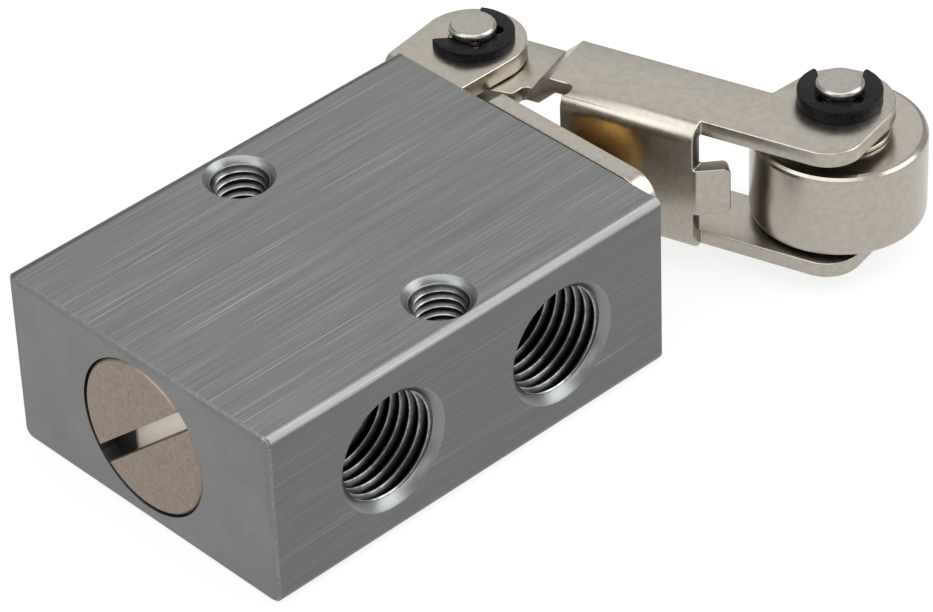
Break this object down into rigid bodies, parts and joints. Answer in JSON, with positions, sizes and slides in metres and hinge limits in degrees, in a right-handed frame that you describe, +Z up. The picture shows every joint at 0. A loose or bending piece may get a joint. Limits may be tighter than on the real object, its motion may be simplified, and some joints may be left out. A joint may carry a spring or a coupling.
{
  "type": "roller lever air valve",
  "caption": "Block-type air valve with two threaded ports in one side, worked by a sprung roller on a hinged sheet-metal lever.",
  "frame": {"origin": "centre of the valve block's flat base face", "axes": "+X along the bore towards the lever end, -Y out of the port face, +Z up through the mounting holes"},
  "size_m": [0.088, 0.0495, 0.0202],
  "materials": {
    "block_aluminium": "long brushed grain along the block",
    "cap_nickel": "turned and nickel plated, satin",
    "nickel_sheet": "nickel plated pressed steel, satin bright",
    "nickel_turned": "nickel plated turned steel, polished",
    "black_spring_steel": "black phosphate",
    "brass_turned": "turned",
    "seal_rubber": "matt",
    "bright_spring_wire": "drawn wire",
    "zinc_screw": "zinc plated"
  },
  "bodies": {
    "body": {"valve_body": "block_aluminium", "end_cap": "cap_nickel", "end_cap_seal": "seal_rubber", "poppet_spring": "bright_spring_wire", "plunger_spring": "bright_spring_wire", "guide_bush": "brass_turned", "guide_bush_seal": "seal_rubber", "plunger_seal": "seal_rubber", "plunger_wiper": "seal_rubber", "lever_bracket": "nickel_sheet", "bracket_screws": "zinc_screw", "pivot_pin": "nickel_turned", "pivot_clip": "black_spring_steel"},
    "lever": {"lever_arm": "nickel_sheet", "roller_pin": "nickel_turned", "roller_clip": "black_spring_steel", "roller_washers": "nickel_turned"},
    "roller": {"roller": "nickel_turned"},
    "plunger": {"plunger": "brass_turned"},
    "poppet": {"poppet": "brass_turned", "poppet_seal": "seal_rubber"}
  },
  "joints": [
    {"name": "lever_hinge", "type": "hinge", "parent": "body", "child": "lever", "pos_m": [0.03475, 0.01697, 0.01], "axis": [0, 0, -1], "range_deg": [0, 13], "stiffness_Nm_per_rad": 0.6, "springref_deg": -20.05},
    {"name": "roller_spin", "type": "hinge", "parent": "lever", "child": "roller", "pos_m": [0.05287, -0.01771, 0.01], "axis": [0, 0, 1], "continuous": true},
    {"name": "plunger_slide", "type": "slide", "parent": "body", "child": "plunger", "axis": [-1, 0, 0], "range_m": [0, 0.00354], "deforming": ["plunger_spring"]},
    {"name": "poppet_slide", "type": "slide", "parent": "body", "child": "poppet", "axis": [-1, 0, 0], "range_m": [0, 0.0026], "deforming": ["poppet_spring"]}
  ],
  "couplings": [
    {"joint": "plunger_slide", "follows": "lever_hinge", "m_per_rad": 0.015585},
    {"joint": "poppet_slide", "follows": "lever_hinge", "m_per_rad": 0.011459}
  ]
}
